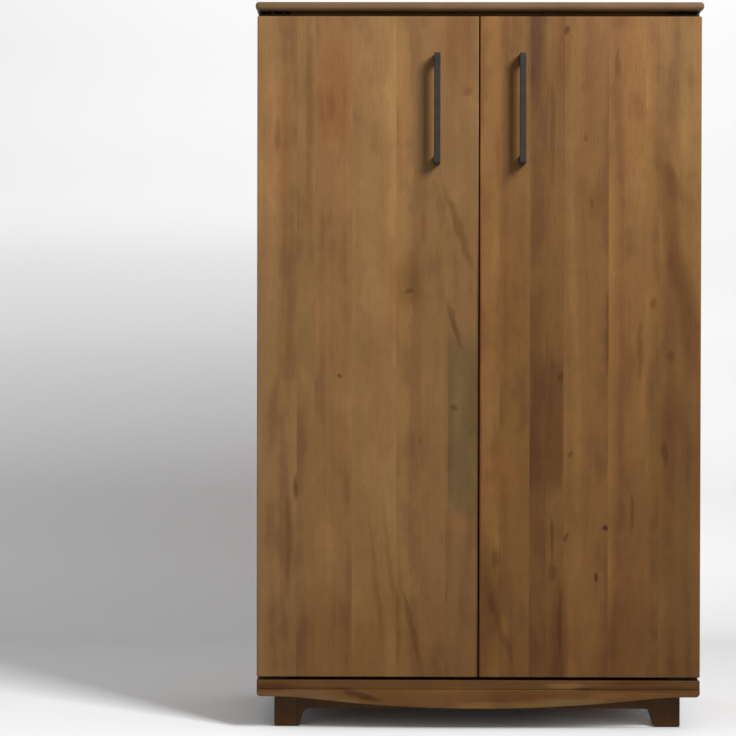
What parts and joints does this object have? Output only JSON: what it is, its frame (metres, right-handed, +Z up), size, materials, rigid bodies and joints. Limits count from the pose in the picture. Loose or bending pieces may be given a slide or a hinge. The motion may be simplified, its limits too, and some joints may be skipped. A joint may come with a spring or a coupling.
{
  "type": "bar cabinet",
  "caption": "Tall wooden bar cabinet with full-height slab doors on pivot hinges, bar pulls, shelves, bottle cradles and a stemware rack, on a low bracket-foot base with a bowed apron.",
  "frame": {"origin": "on the floor, under the middle of the whole object's box", "axes": "+X to the right seen from the front, +Y from the doors to the back, +Z up"},
  "size_m": [0.862, 0.477, 1.405],
  "materials": {
    "door_wood": "satin oiled, upright grain",
    "case_wood": "satin oiled",
    "inner_wood": "satin oiled",
    "back_ply": "sealed plywood",
    "dark_metal": "nearly black, satin",
    "steel": "zinc plated",
    "felt": "felt",
    "washer_plastic": "plain",
    "catch_plastic": "moulded"
  },
  "bodies": {
    "carcass": {"top_panel": "case_wood", "bottom_panel": "case_wood", "left_side": "case_wood", "right_side": "case_wood", "front_apron": "case_wood", "front_rail": "case_wood", "rear_rail": "case_wood", "left_rail": "case_wood", "right_rail": "case_wood", "left_front_foot": "case_wood", "left_rear_foot": "case_wood", "right_front_foot": "case_wood", "right_rear_foot": "case_wood", "back_panel": "back_ply", "front_stretcher": "inner_wood", "rear_stretcher": "inner_wood", "wall_rail": "inner_wood", "serving_shelf": "inner_wood", "upper_shelf": "inner_wood", "lower_shelf": "inner_wood", "front_cradle": "inner_wood", "rear_cradle": "inner_wood", "stemware_rail_1": "inner_wood", "stemware_rail_2": "inner_wood", "stemware_rail_3": "inner_wood", "stemware_rail_4": "inner_wood", "stemware_rail_5": "inner_wood", "dowels": "inner_wood", "felt_pads": "felt", "hinge_washers": "washer_plastic", "left_catch": "catch_plastic", "right_catch": "catch_plastic", "wood_screws": "steel", "small_screws": "steel", "shelf_pins": "steel", "hinge_pins": "dark_metal", "left_lower_frame_leaf": "dark_metal", "left_upper_frame_leaf": "dark_metal", "right_lower_frame_leaf": "dark_metal", "right_upper_frame_leaf": "dark_metal"},
    "left_door": {"left_door_panel": "door_wood", "left_lower_batten": "inner_wood", "left_upper_batten": "inner_wood", "left_batten_screws": "steel", "left_lower_door_leaf": "dark_metal", "left_upper_door_leaf": "dark_metal", "left_small_screws": "steel", "left_handle": "dark_metal", "left_handle_screws": "steel", "left_strike_plate": "steel"},
    "right_door": {"right_door_panel": "door_wood", "right_lower_batten": "inner_wood", "right_upper_batten": "inner_wood", "right_batten_screws": "steel", "right_lower_door_leaf": "dark_metal", "right_upper_door_leaf": "dark_metal", "right_small_screws": "steel", "right_handle": "dark_metal", "right_handle_screws": "steel", "right_strike_plate": "steel"}
  },
  "joints": [
    {"name": "left_door_swing", "type": "hinge", "parent": "carcass", "child": "left_door", "pos_m": [-0.417, -0.1955, 0.7415], "axis": [0, 0, -1], "range_deg": [0, 110]},
    {"name": "right_door_swing", "type": "hinge", "parent": "carcass", "child": "right_door", "pos_m": [0.417, -0.1955, 0.7415], "axis": [0, 0, 1], "range_deg": [0, 110]}
  ]
}
